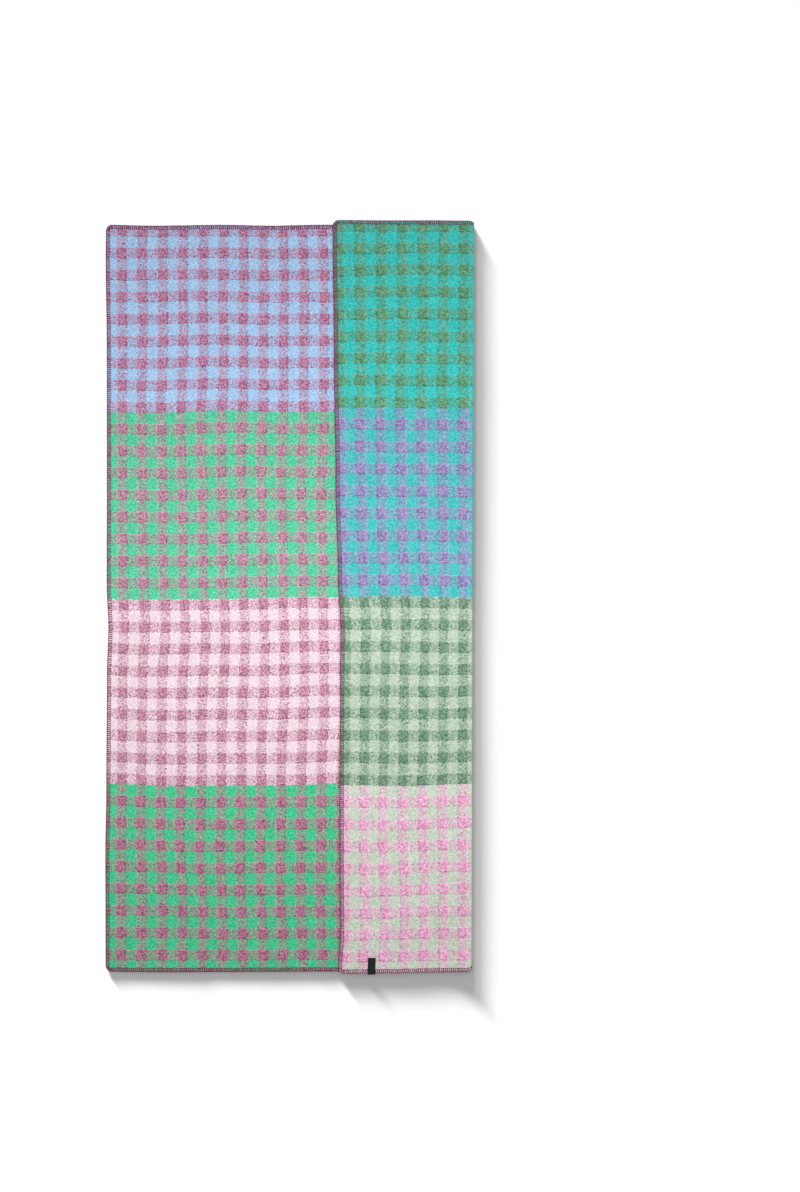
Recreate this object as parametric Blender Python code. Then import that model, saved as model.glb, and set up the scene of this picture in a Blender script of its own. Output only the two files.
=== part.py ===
"""A woven and felted wool blanket that lies flat, its right-hand part folded over to the left.

Metres, +Z up. X runs across the blanket, Y along it, and the face that was woven as the front looks
up. The origin is on the surface that the blanket lies on, under the middle of the folded blanket.
"""

from collections import namedtuple
from math import cos, pi, radians, sin, sqrt

import bmesh
import bpy

# The cloth as it was cut: its size, thickness, and the radius of its four corners.
LENGTH = 2.000
WIDTH = 1.350
THICKNESS = 0.0035
CORNER_RADIUS = 0.015
EDGE_ROUNDING = 0.0012
EDGE_ROUNDING_STEPS = 2

# The fold: the flat width that is turned over, the air between the layers, the distance over which
# the loop settles onto the layer below, and how far the loop's two ends draw in along the blanket.
TURNED_OVER = 0.355
LAYER_GAP = 0.0015
SETTLE = 0.065
LOOP_RADIUS = 0.0055
END_DRAW = 0.004
END_DRAW_ACROSS = 0.022
END_DRAW_ALONG = 0.050

# Over the flat cloth: the length of the loop, where it starts and where the upper layer starts. In
# Z: the middle of the lower layer and the middle of the upper one.
LOOP = pi * LOOP_RADIUS
LOWER = WIDTH - LOOP - TURNED_OVER
UPPER_START = LOWER + LOOP
LOWER_LEVEL = THICKNESS / 2
UPPER_LEVEL = LOWER_LEVEL + THICKNESS + LAYER_GAP

# The outline along the blanket, by the share of its length above the lower edge: where the left
# edge, the fold and the free edge of the turned-over part lie in X, and how high the fold stands.
Side = namedtuple("Side", "share left fold free crest")
SIDES = (
    Side(0.00, -0.4918, 0.4862, 0.1306, 0.0140),
    Side(0.06, -0.4921, 0.4870, 0.1362, 0.0148),
    Side(0.16, -0.4926, 0.4873, 0.1348, 0.0155),
    Side(0.24, -0.4900, 0.4878, 0.1348, 0.0152),
    Side(0.40, -0.4880, 0.4885, 0.1365, 0.0143),
    Side(0.46, -0.4843, 0.4888, 0.1375, 0.0140),
    Side(0.52, -0.4889, 0.4892, 0.1308, 0.0143),
    Side(0.65, -0.4883, 0.4900, 0.1242, 0.0152),
    Side(0.83, -0.4886, 0.4912, 0.1196, 0.0156),
    Side(0.96, -0.4915, 0.4923, 0.1169, 0.0147),
    Side(1.00, -0.4905, 0.4926, 0.1161, 0.0142),
)

# The outline across the cloth, by the distance from its left edge over the flat cloth: where its
# lower and upper cut edges lie in Y.
End = namedtuple("End", "across lower upper")
ENDS = (
    End(0.00, -1.0015, 0.9951),
    End(0.13, -1.0030, 0.9925),
    End(0.31, -1.0025, 0.9948),
    End(0.44, -1.0018, 0.9925),
    End(0.58, -1.0012, 0.9950),
    End(0.98, -1.0008, 1.0045),
    End(1.10, -1.0030, 1.0063),
    End(1.20, -1.0050, 1.0061),
    End(WIDTH, -1.0066, 1.0070),
)

# Low swells where the cloth doesn't lie quite flat. One marked as both lifts both layers, and one
# marked as upper lifts the turned-over part alone. The heading is the angle of its length from X.
Swell = namedtuple("Swell", "x y half_length half_width heading height layer")
SWELLS = (
    Swell(-0.37, 0.34, 0.42, 0.13, radians(82), 0.0022, "both"),
    Swell(-0.12, -0.52, 0.40, 0.14, radians(104), 0.0020, "both"),
    Swell(0.02, 0.66, 0.30, 0.13, radians(64), 0.0018, "both"),
    Swell(0.22, 0.38, 0.46, 0.12, radians(84), 0.0028, "upper"),
    Swell(0.30, -0.42, 0.40, 0.13, radians(97), 0.0024, "upper"),
)

# The woven label that is folded over the lower cut edge of the turned-over part.
LABEL_WIDTH = 0.021
LABEL_X = 0.2165
LABEL_LENGTH = 0.044
LABEL_THICKNESS = 0.0006
LABEL_GAP = 0.0003
LABEL_BEND_STEPS = 8

# How finely the cloth is divided: the rows and columns close to a cut edge, and the steps between.
NEAR_EDGE = (0.0, 0.003, 0.007, CORNER_RADIUS, 0.040)
LOWER_STEPS = 16
LOOP_STEPS = 10
SETTLE_STEPS = 6
UPPER_STEPS = 6
LENGTH_STEPS = 24


def clear_scene():
    for item in list(bpy.data.objects):
        bpy.data.objects.remove(item, do_unlink=True)


def smooth(value):
    """0 up to 0, 1 from 1 on, and a soft step between."""
    value = min(max(value, 0.0), 1.0)
    return value * value * (3.0 - 2.0 * value)


def read(table, position):
    """The table's row at this position, worked out softly from the two rows beside it. A row's
    first column is its position."""
    for before, after in zip(table, table[1:]):
        if position <= after[0]:
            break
    step = smooth((position - before[0]) / (after[0] - before[0]))
    return type(before)(*(low + step * (high - low) for low, high in zip(before, after)))


def loop_radius(side):
    """The radius of the fold's loop, to the middle of the cloth."""
    return (side.crest - THICKNESS) / 2


def loop_start(side):
    """Where the lower layer starts to turn up, in X."""
    return side.fold - THICKNESS / 2 - loop_radius(side)


def section(across, side):
    """The folded section: X and Z of the middle of the cloth, this far across the flat cloth."""
    radius = loop_radius(side)
    start = loop_start(side)
    if across <= LOWER:
        return side.left + across / LOWER * (start - side.left), LOWER_LEVEL
    if across <= UPPER_START:
        angle = pi * (across - LOWER) / LOOP
        return start + radius * sin(angle), LOWER_LEVEL + radius * (1 - cos(angle))
    past = across - UPPER_START
    x = start - past / TURNED_OVER * (start - side.free)
    settled = smooth(past / SETTLE)
    crest_level = LOWER_LEVEL + 2 * radius
    return x, crest_level + settled * (UPPER_LEVEL - crest_level)


def swell_height(x, y, across):
    """How far the swells lift the cloth at this place."""
    height = 0.0
    on_upper = smooth((across - UPPER_START) / SETTLE)
    for swell in SWELLS:
        dx, dy = x - swell.x, y - swell.y
        along = dx * cos(swell.heading) + dy * sin(swell.heading)
        aside = dy * cos(swell.heading) - dx * sin(swell.heading)
        distance = sqrt((along / swell.half_length) ** 2 + (aside / swell.half_width) ** 2)
        share = on_upper if swell.layer == "upper" else 1.0
        height += share * swell.height * (1.0 - smooth(distance))
    return height


def end_draw(across, up):
    """How far the loop's ends draw in: up at the lower edge and down at the upper one."""
    beside = 1.0 - smooth(abs(across - LOWER - LOOP / 2) / END_DRAW_ACROSS)
    low_end = 1.0 - smooth(up / END_DRAW_ALONG)
    high_end = 1.0 - smooth((LENGTH - up) / END_DRAW_ALONG)
    return END_DRAW * beside * (low_end - high_end)


def place(across, up):
    """Where a point of the flat cloth's middle lies, this far across it and up it."""
    x, z = section(across, read(SIDES, up / LENGTH))
    end = read(ENDS, across)
    y = end.lower + up / LENGTH * (end.upper - end.lower) + end_draw(across, up)
    return x, y, z + swell_height(x, y, across)


def into_corner(position, size):
    """How far this place is into the corner before or after it: -1 and 1 at the edges, 0 between."""
    if position < CORNER_RADIUS:
        return position / CORNER_RADIUS - 1.0
    if position > size - CORNER_RADIUS:
        return (position - size) / CORNER_RADIUS + 1.0
    return 0.0


def rounded(across, up):
    """The same point once each corner's square is drawn in to a quarter disc."""
    side, end = into_corner(across, WIDTH), into_corner(up, LENGTH)
    across += CORNER_RADIUS * side * (sqrt(1.0 - end * end / 2) - 1.0)
    up += CORNER_RADIUS * end * (sqrt(1.0 - side * side / 2) - 1.0)
    return across, up


def evenly(start, stop, steps):
    return [start + (stop - start) * step / steps for step in range(1, steps + 1)]


def stations_across():
    """The columns' places over the flat cloth, close together at the edges and round the loop."""
    settled = UPPER_START + SETTLE
    near_right = [WIDTH - step for step in reversed(NEAR_EDGE)]
    places = list(NEAR_EDGE)
    places += evenly(NEAR_EDGE[-1], LOWER, LOWER_STEPS)
    places += evenly(LOWER, UPPER_START, LOOP_STEPS)
    places += evenly(UPPER_START, settled, SETTLE_STEPS)
    places += evenly(settled, near_right[0], UPPER_STEPS)
    return places + near_right[1:]


def stations_up():
    """The rows' places over the flat cloth, close together at both ends."""
    near_top = [LENGTH - step for step in reversed(NEAR_EDGE)]
    places = list(NEAR_EDGE) + evenly(NEAR_EDGE[-1], near_top[0], LENGTH_STEPS)
    return places + near_top[1:]


def wool():
    material = bpy.data.materials.new("wool")
    material.use_nodes = True
    shader = material.node_tree.nodes["Principled BSDF"]
    shader.inputs["Base Color"].default_value = (0.36, 0.24, 0.33, 1.0)
    shader.inputs["Roughness"].default_value = 0.95
    shader.inputs["Metallic"].default_value = 0.0
    return material


def black_ribbon():
    material = bpy.data.materials.new("black_ribbon")
    material.use_nodes = True
    shader = material.node_tree.nodes["Principled BSDF"]
    shader.inputs["Base Color"].default_value = (0.012, 0.012, 0.013, 1.0)
    shader.inputs["Roughness"].default_value = 0.6
    shader.inputs["Metallic"].default_value = 0.0
    return material


def add_object(name, shape, material):
    mesh = bpy.data.meshes.new(name)
    shape.to_mesh(mesh)
    shape.free()
    item = bpy.data.objects.new(name, mesh)
    mesh.materials.append(material)
    bpy.context.scene.collection.objects.link(item)
    return item


def add_blanket():
    """The cloth: its middle surface on a grid, thickened to both sides, with rounded cut edges."""
    shape = bmesh.new()
    rows = [
        [shape.verts.new(place(*rounded(across, up))) for across in stations_across()]
        for up in stations_up()
    ]
    for row, next_row in zip(rows, rows[1:]):
        for column in range(len(row) - 1):
            corners = (row[column], row[column + 1], next_row[column + 1], next_row[column])
            shape.faces.new(corners)
    blanket = add_object("blanket", shape, wool())
    blanket.data.shade_smooth()
    thickened = blanket.modifiers.new("thickness", "SOLIDIFY")
    thickened.thickness = THICKNESS
    thickened.offset = 0.0
    thickened.use_even_offset = True
    edge = blanket.modifiers.new("rounded cut edge", "BEVEL")
    edge.width = EDGE_ROUNDING
    edge.segments = EDGE_ROUNDING_STEPS
    edge.limit_method = "ANGLE"
    edge.angle_limit = radians(60)
    return blanket


def lower_cut_edge(x):
    """Y of the turned-over part's lower cut edge at this X, between the columns on its two sides."""
    columns = [across for across in stations_across() if across > UPPER_START + SETTLE]
    edge = [place(*rounded(across, 0.0)) for across in columns]
    for right, left in zip(edge, edge[1:]):
        if left[0] <= x:
            break
    share = (x - left[0]) / (right[0] - left[0])
    return left[1] + share * (right[1] - left[1])


def label_face(radius, centre_y, end_y):
    """One face of the label's section, as Y and Z: from the end of the leg under the cloth, round
    the cut edge, to the end of the leg on top."""
    points = [(end_y, UPPER_LEVEL - radius)]
    for step in range(LABEL_BEND_STEPS + 1):
        angle = pi * step / LABEL_BEND_STEPS
        points.append((centre_y - radius * sin(angle), UPPER_LEVEL - radius * cos(angle)))
    return points + [(end_y, UPPER_LEVEL + radius)]


def add_label():
    """The label: a strip bent round the cut edge, with a flat leg on each face of the cloth."""
    left_x = LABEL_X - LABEL_WIDTH / 2
    right_x = LABEL_X + LABEL_WIDTH / 2
    edge_y = min(lower_cut_edge(left_x), lower_cut_edge(right_x))
    inner = THICKNESS / 2 + LABEL_GAP
    outer = inner + LABEL_THICKNESS
    centre_y = edge_y + THICKNESS / 2
    end_y = centre_y - outer + LABEL_LENGTH
    outline = label_face(outer, centre_y, end_y)
    outline += reversed(label_face(inner, centre_y, end_y))
    shape = bmesh.new()
    section_face = shape.faces.new([shape.verts.new((left_x, y, z)) for y, z in outline])
    grown = bmesh.ops.extrude_face_region(shape, geom=[section_face])
    moved = [item for item in grown["geom"] if isinstance(item, bmesh.types.BMVert)]
    bmesh.ops.translate(shape, verts=moved, vec=(LABEL_WIDTH, 0.0, 0.0))
    bmesh.ops.recalc_face_normals(shape, faces=shape.faces)
    label = add_object("label", shape, black_ribbon())
    label.data.shade_smooth()
    label.data.set_sharp_from_angle(angle=radians(40))
    return label


clear_scene()
add_blanket()
add_label()
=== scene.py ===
"""The looks of the wool blanket: its cloth, the overlock stitches round its edge and its label.

Metres, +Z up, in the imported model's frame. Places on the cloth are given over the flat cloth:
"across" from its left edge, "up" from its lower edge, and "height" over the middle of the cloth
towards the face that was woven as the front. The turned-over part shows the reverse.
"""

from collections import namedtuple
from math import atan, cos, pi, radians, sin

import bpy
import numpy as np
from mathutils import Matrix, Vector


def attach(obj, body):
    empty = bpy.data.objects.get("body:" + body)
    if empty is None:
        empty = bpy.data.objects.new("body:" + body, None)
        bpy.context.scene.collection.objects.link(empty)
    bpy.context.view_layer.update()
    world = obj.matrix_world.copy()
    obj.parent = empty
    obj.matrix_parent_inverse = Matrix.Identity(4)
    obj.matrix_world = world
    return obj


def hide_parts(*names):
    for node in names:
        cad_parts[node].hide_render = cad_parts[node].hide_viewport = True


# The cloth as it was cut, and its fold: as in the solid, but that the loop's ends draw in over a
# narrower stretch. Past the loop the turned-over part settles onto the gap over the lower layer.
LENGTH = 2.000
WIDTH = 1.350
THICKNESS = 0.0035
CORNER_RADIUS = 0.015
TURNED_OVER = 0.355
LAYER_GAP = 0.0015
SETTLE = 0.065
LOOP_RADIUS = 0.0055
END_DRAW = 0.004
END_DRAW_ACROSS = 0.014
END_DRAW_ALONG = 0.050
LOOP = pi * LOOP_RADIUS
LOWER = WIDTH - LOOP - TURNED_OVER
UPPER_START = LOWER + LOOP
LOWER_LEVEL = THICKNESS / 2
UPPER_LEVEL = LOWER_LEVEL + THICKNESS + LAYER_GAP

# The outline along the blanket, by the share of its length: where the left edge, the fold and the
# free edge lie in X, and how high the fold stands.
Side = namedtuple("Side", "share left fold free crest")
SIDES = (
    Side(0.00, -0.4918, 0.4862, 0.1306, 0.0140),
    Side(0.06, -0.4921, 0.4870, 0.1362, 0.0148),
    Side(0.16, -0.4926, 0.4873, 0.1348, 0.0155),
    Side(0.24, -0.4900, 0.4878, 0.1348, 0.0152),
    Side(0.40, -0.4880, 0.4885, 0.1365, 0.0143),
    Side(0.46, -0.4843, 0.4888, 0.1375, 0.0140),
    Side(0.52, -0.4889, 0.4892, 0.1308, 0.0143),
    Side(0.65, -0.4883, 0.4900, 0.1242, 0.0152),
    Side(0.83, -0.4886, 0.4912, 0.1196, 0.0156),
    Side(0.96, -0.4915, 0.4923, 0.1169, 0.0147),
    Side(1.00, -0.4905, 0.4926, 0.1161, 0.0142),
)

# The outline across the cloth: where its lower and upper cut edges lie in Y.
End = namedtuple("End", "across lower upper")
ENDS = (
    End(0.00, -1.0015, 0.9951),
    End(0.13, -1.0030, 0.9925),
    End(0.31, -1.0025, 0.9948),
    End(0.44, -1.0018, 0.9925),
    End(0.58, -1.0012, 0.9950),
    End(0.98, -1.0008, 1.0045),
    End(1.10, -1.0030, 1.0063),
    End(1.20, -1.0050, 1.0061),
    End(WIDTH, -1.0066, 1.0070),
)

# Low swells where the cloth doesn't lie quite flat. The heading is the angle of the length from X,
# and the layer is the part of the cloth that swells.
Swell = namedtuple("Swell", "x y half_length half_width heading height layer")
SWELLS = (
    Swell(-0.37, 0.34, 0.42, 0.13, radians(82), 0.0022, "both"),
    Swell(-0.12, -0.52, 0.40, 0.14, radians(104), 0.0020, "both"),
    Swell(0.02, 0.66, 0.30, 0.13, radians(64), 0.0018, "both"),
    Swell(0.22, 0.38, 0.46, 0.12, radians(84), 0.0028, "upper"),
    Swell(0.30, -0.42, 0.40, 0.13, radians(97), 0.0024, "upper"),
)

# The check: the width of a column and the height of a row, and how many of each the cloth has.
COLUMNS = 50
ROWS = 68
COLUMN = WIDTH / COLUMNS
ROW = LENGTH / ROWS

# The cloth's relief: half its thickness where the overlock stitches press it, how far in they
# reach, the distance over which it swells to its full thickness, how deep the lines between the
# squares lie, and the round rim, as the distance in from the cut and the share of the thickness.
PRESSED = 0.00115
STITCH_REACH = 0.0088
SWELL_OUT = 0.007
LINE_DEPTH = 0.0004
RIM_INSET = (0.0, 0.0006, 0.0016)
RIM_SHARE = (0.42, 0.84, 1.0)

# How the cloth lies: its stitched edges stand on their stitches, the free edge of the turned-over
# part sinks onto the layer below, and the label's lower leg lifts the cloth over it.
EDGE_LIFT = 0.0011
EDGE_LIFT_REACH = 0.024
FREE_EDGE_DROP = 0.0006
LABEL_LIFT = 0.0005
LABEL_LIFT_REACH = 0.035
LABEL_LIFT_LENGTH = 0.044

# Ripple: soft unevenness, as a height over two wave lengths in X and Y, shifted by a phase.
Ripple = namedtuple("Ripple", "height length_x length_y phase")
RIPPLES = (
    Ripple(0.00022, 0.31, 0.17, 0.4),
    Ripple(0.00016, 0.19, -0.23, 2.1),
    Ripple(0.00012, -0.11, 0.13, 4.4),
    Ripple(0.00009, 0.083, 0.071, 1.3),
)

# Drift: how the lines of the check wander. Columns drift across along the length, rows drift up
# along the width. The reach is how far in from an edge or the fold the drift gets its full size.
Drift = namedtuple("Drift", "size wave_across wave_up phase")
COLUMN_DRIFT = (Drift(0.0034, 1.9, 0.92, 0.6), Drift(0.0016, 0.7, 0.37, 2.9))
ROW_DRIFT = (Drift(0.0027, 0.86, 2.3, 1.1), Drift(0.0012, 0.33, 0.9, 4.0))
DRIFT_REACH = 0.16

# The cloth's grid: steps in each square, rings close to a cut edge, and steps round the loop. Its
# places are rounded to this many decimals, so that they are off by less than the error.
SQUARE_STEPS = 3
NEAR_EDGE = (0.0006, 0.0016, 0.0035, 0.0062)
LOOP_STEPS = 12
PLACE_DECIMALS = 7
PLACE_ERROR = 1e-6

# Places of the maps for baking: the columns that end the front's shown part and start the fold's,
# the width of each island as a share of the image, and the strips between and round them.
SHOWN_FRONT_COLUMNS = 24
FOLD_COLUMNS = 36
SHOWN_SHARE = 0.575
UNDER_SHARE = 0.365
HIDDEN_SHARE = 0.03
GUTTER = 0.005
RIM_STRIP = 0.0025

# Small steps, to find the direction of the surface or an edge.
SURFACE_STEP = 0.0004
EDGE_STEP = 0.001

# Overlock stitches: their pitch, how unevenly they sit along the edge and in from it, the radii of
# their threads, the share of the radius that is left where a thread dives into the cloth, how many
# sides a thread has, and the share of their reach that they lose in the middle of a corner. On the
# yarn each stitch starts this far on from the one before. They come as this many pieces.
PITCH = 0.0053
PITCH_UNEVEN = 0.0004
REACH_UNEVEN = 0.00035
LEG_RADIUS = 0.00125
NEEDLE_RADIUS = 0.00065
THREAD_END = 0.4
THREAD_SIDES = 5
CORNER_SHORTER = 0.2
STITCH_SEED = 7
YARN_APART = 0.02
STITCH_PIECES = 4

# The chain along the rim: two strands that twist round a line which lies this far in from the rim
# and this high, the radii of the twist and of a strand, and how many steps a stitch of it has.
CHAIN_INSET = 0.0005
CHAIN_HEIGHT = 0.0003
CHAIN_TWIST_RADIUS = 0.0008
CHAIN_RADIUS = 0.00090
CHAIN_STEPS = 5

# The stitches' map for baking: this many squares a side, one for each stitch, and in each square a
# strip for each of its threads, in shares of the square.
MAP_SQUARES = 18
Strip = namedtuple("Strip", "left low width length")
LEG_STRIP = Strip(0.04, 0.04, 0.30, 0.92)
FIRST_STRAND_STRIP = Strip(0.42, 0.04, 0.22, 0.42)
SECOND_STRAND_STRIP = Strip(0.42, 0.54, 0.22, 0.42)
FRONT_NEEDLE_STRIP = Strip(0.72, 0.04, 0.22, 0.42)
BACK_NEEDLE_STRIP = Strip(0.72, 0.54, 0.22, 0.42)

# One stitch's leg, from its needle hole on the front to the rim; the other half mirrors it. The
# forward column is the share of the pitch that it has gone along the edge.
Leg = namedtuple("Leg", "forward inset height")
HALF_LEG = (
    Leg(0.02, 0.0091, 0.0006),
    Leg(0.02, 0.0087, 0.0013),
    Leg(0.07, 0.0076, 0.0015),
    Leg(0.15, 0.0056, 0.0015),
    Leg(0.25, 0.0037, 0.0015),
    Leg(0.36, 0.0017, 0.00155),
    Leg(0.45, -0.0001, 0.0013),
)
LEG_TURN = Leg(0.50, -0.0007, 0.0)

# One needle stitch, from hole to hole.
NEEDLE_STITCH = (
    Leg(0.06, 0.0093, 0.0006),
    Leg(0.20, 0.0093, 0.00145),
    Leg(0.50, 0.0093, 0.0016),
    Leg(0.80, 0.0093, 0.00145),
    Leg(0.94, 0.0093, 0.0006),
)

# The label: a ribbon folded over the lower cut edge of the turned-over part. Its legs end this far
# in from the edge, and its bend stands off the edge a little. Its inner face is this high over the
# middle of the cloth, over the stitches and past them, where it soon comes down.
LABEL_X = 0.2188
LABEL_WIDTH = 0.021
LABEL_END = 0.0400
LABEL_THICKNESS = 0.0006
LABEL_OVER_STITCHES = 0.00270
LABEL_OVER_CLOTH = 0.00190
LABEL_PAST_STITCHES = 0.001
LABEL_COMES_DOWN = 0.004
LABEL_BEND_INSET = -0.0012
LABEL_BEND_STEPS = 8
LABEL_LEG_STEPS = 14
LABEL_WIDTH_STEPS = 10
LABEL_SHARP = radians(40)

# The label's own stitches: two rows across each leg, by their distance in from the edge, and one
# stitch as the share of the pitch and the height over the ribbon.
TACK_ROWS = (0.0368, 0.0134)
TACKS = 6
TACK_PITCH = 0.0031
TACK_RADIUS = 0.00022
Tack = namedtuple("Tack", "forward height")
TACK = (
    Tack(0.06, -0.0003),
    Tack(0.14, 0.0001),
    Tack(0.32, 0.00018),
    Tack(0.68, 0.00018),
    Tack(0.86, 0.0001),
    Tack(0.94, -0.0003),
)

# Light: how brightly a level face is lit in all, and by the even sky alone. The rest comes on the
# cloth from a long lamp across its middle, which leaves its ends darker, and from two broad lamps
# far away, and on the floor from a spread of low ones, whose shadows add up to one long soft one.
# The near lamp gives this share of the lamps' light on the cloth. A far lamp has the length of a
# shadow in its light, by the height of what casts it, the heading that the light comes from, and
# how wide the lamp looks from the cloth.
LIGHT = 1.27
SKY = 0.46
NEAR_SHARE = 0.7
NEAR_PLACE = Vector((0.2, 0.02, 1.2))
NEAR_LENGTH = 2.0
NEAR_WIDTH = 0.5
Lamp = namedtuple("Lamp", "shadow heading width")
BROAD_LAMPS = (
    Lamp(0.6, radians(97), radians(45)),
    Lamp(0.9, radians(8), radians(50)),
)
LOW_PLACES = ((4.3, 102), (5.8, 111), (7.0, 113), (8.1, 116), (9.6, 117), (12.0, 120))
LOW_LAMPS = [Lamp(shadow, radians(heading), radians(5)) for shadow, heading in LOW_PLACES]

# Colours, as they look on the screen where the light is full. Each band has a light and a dark
# yarn, and each yarn a ground and a colour for its flecks. The ends of the cloth get less light, so
# the palest yarns there have levels over 255.
Yarn = namedtuple("Yarn", "red green blue fleck_red fleck_green fleck_blue")
Band = namedtuple("Band", "light dark")
FRONT_BANDS = (
    Band(Yarn(16, 198, 134, 104, 236, 180), Yarn(156, 58, 112, 218, 160, 180)),
    Band(Yarn(262, 218, 240, 266, 251, 257), Yarn(170, 72, 122, 236, 186, 206)),
    Band(Yarn(44, 200, 146, 124, 240, 196), Yarn(160, 78, 126, 224, 178, 194)),
    Band(Yarn(158, 204, 260, 206, 240, 268), Yarn(160, 66, 122, 226, 172, 206)),
)
REVERSE_BANDS = (
    Band(Yarn(198, 220, 192, 242, 250, 238), Yarn(246, 140, 196, 266, 216, 244)),
    Band(Yarn(182, 208, 182, 224, 240, 222), Yarn(74, 126, 90, 152, 184, 160)),
    Band(Yarn(22, 194, 200, 108, 222, 220), Yarn(128, 108, 182, 188, 176, 220)),
    Band(Yarn(0, 204, 194, 88, 230, 226), Yarn(54, 148, 98, 136, 188, 154)),
)
# The plum thread's dark colour is its darker tone between flecks, and the painted shade in the
# groove between its plies.
THREAD = (160, 44, 110)
THREAD_DARK_TONE_AND_SHADE = (94, 26, 68)
RIBBON = (14, 14, 15)
RIBBON_WORN = (30, 30, 31)

# The floor: its size, its level and its pale colour.
FLOOR_SIZE = 240.0
FLOOR_LEVEL = -0.0004
FLOOR_COLOUR = (0.86, 0.86, 0.86, 1.0)

# The camera looks straight down from here.
VIEW_FROM = (0.295, 0.0025, 7.094)
LENS = 80.0


def smooth(value):
    """0 up to 0, 1 from 1 on, and a soft step between."""
    value = np.clip(value, 0.0, 1.0)
    return value * value * (3.0 - 2.0 * value)


def read(table, position):
    """The table's row at these positions, worked out softly from the two rows beside each. A row's
    first column is its position."""
    rows = np.array(table)
    after = np.clip(np.searchsorted(rows[:, 0], position), 1, len(rows) - 1)
    low, high = rows[after - 1], rows[after]
    step = smooth((position - low[..., 0]) / (high[..., 0] - low[..., 0]))
    return type(table[0])(*np.moveaxis(low + step[..., None] * (high - low), -1, 0))


def section(across, side):
    """The folded section: X and Z of the middle of the cloth, this far across the flat cloth."""
    radius = (side.crest - THICKNESS) / 2
    start = side.fold - THICKNESS / 2 - radius
    angle = pi * np.clip((across - LOWER) / LOOP, 0.0, 1.0)
    past = np.maximum(across - UPPER_START, 0.0)
    before = np.minimum(across, LOWER) / LOWER
    x = side.left + before * (start - side.left) + radius * np.sin(angle)
    x = x - past / TURNED_OVER * (start - side.free)
    settled = smooth(past / SETTLE)
    z = LOWER_LEVEL + radius * (1.0 - np.cos(angle))
    return x, z + settled * (UPPER_LEVEL - LOWER_LEVEL - 2.0 * radius)


def swell_height(x, y, across):
    """How far the swells lift the cloth at this place."""
    height = np.zeros_like(x)
    on_upper = smooth((across - UPPER_START) / SETTLE)
    for swell in SWELLS:
        dx, dy = x - swell.x, y - swell.y
        along = dx * np.cos(swell.heading) + dy * np.sin(swell.heading)
        aside = dy * np.cos(swell.heading) - dx * np.sin(swell.heading)
        distance = np.hypot(along / swell.half_length, aside / swell.half_width)
        share = on_upper if swell.layer == "upper" else 1.0
        height += share * swell.height * (1.0 - smooth(distance))
    return height


def end_draw(across, up):
    """How far the loop's ends draw in: up at the lower edge and down at the upper one."""
    beside = 1.0 - smooth(np.abs(across - LOWER - LOOP / 2) / END_DRAW_ACROSS)
    low_end = 1.0 - smooth(up / END_DRAW_ALONG)
    high_end = 1.0 - smooth((LENGTH - up) / END_DRAW_ALONG)
    return END_DRAW * beside * (low_end - high_end)


def to_ends(up):
    """The distance to the lower or the upper cut edge, whichever is nearer."""
    return np.minimum(up, LENGTH - up)


def inset(across, up):
    """The distance to the nearest cut edge."""
    return np.minimum(np.minimum(across, WIDTH - across), to_ends(up))


def ripple_height(x, y, across):
    """The soft unevenness of the cloth, which is none round the loop and never presses it down."""
    height = np.zeros_like(x)
    for ripple in RIPPLES:
        turns = x / ripple.length_x + y / ripple.length_y
        height += ripple.height * (1.0 + np.sin(2.0 * pi * turns + ripple.phase))
    off_loop = smooth((LOWER - across) / SETTLE) + smooth((across - UPPER_START) / SETTLE)
    return height * off_loop


def settling(across, up):
    """How the cloth lies on its stitches, its label and the layer below."""
    past_stitches = (np.minimum(across, to_ends(up)) - STITCH_REACH) / EDGE_LIFT_REACH
    lift = EDGE_LIFT * (1.0 - smooth(past_stitches))
    to_free = (WIDTH - across - STITCH_REACH) / EDGE_LIFT_REACH
    from_ends = smooth(to_ends(up) / EDGE_LIFT_REACH)
    drop = FREE_EDGE_DROP * (1.0 - smooth(to_free)) * from_ends
    to_label = np.hypot(across - label_across(), np.maximum(up - LABEL_LIFT_LENGTH, 0.0))
    return lift - drop + LABEL_LIFT * (1.0 - smooth(to_label / LABEL_LIFT_REACH))


def label_across():
    """Where the label's middle is over the flat cloth."""
    lower_end = SIDES[0]
    start = lower_end.fold - THICKNESS / 2 - (lower_end.crest - THICKNESS) / 2
    return UPPER_START + (start - LABEL_X) / (start - lower_end.free) * TURNED_OVER


def place(across, up):
    """Where a point of the flat cloth's middle lies."""
    x, z = section(across, read(SIDES, up / LENGTH))
    end = read(ENDS, across)
    y = end.lower + up / LENGTH * (end.upper - end.lower) + end_draw(across, up)
    z = z + swell_height(x, y, across) + ripple_height(x, y, across) + settling(across, up)
    return np.stack((x, y, z), axis=-1)


def unit(vectors):
    return vectors / np.linalg.norm(vectors, axis=-1, keepdims=True)


def on_cloth(across, up, height):
    """A point this high over the middle of the cloth, towards its front."""
    sideways = place(across + SURFACE_STEP, up) - place(across - SURFACE_STEP, up)
    upwards = place(across, up + SURFACE_STEP) - place(across, up - SURFACE_STEP)
    facing = unit(np.cross(sideways, upwards))
    return place(across, up) + np.asarray(height)[..., None] * facing


def into_corner(position, size):
    """How far this place is into the corner before or after it: -1 or 1 at an edge, 0 between."""
    before = np.minimum(position / CORNER_RADIUS - 1.0, 0.0)
    after = np.maximum((position - size) / CORNER_RADIUS + 1.0, 0.0)
    return before + after


def rounded(across, up):
    """The same points once each corner's square is drawn in to a quarter disc."""
    side, end = into_corner(across, WIDTH), into_corner(up, LENGTH)
    drawn_across = across + CORNER_RADIUS * side * (np.sqrt(1.0 - end * end / 2) - 1.0)
    drawn_up = up + CORNER_RADIUS * end * (np.sqrt(1.0 - side * side / 2) - 1.0)
    return drawn_across, drawn_up


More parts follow.
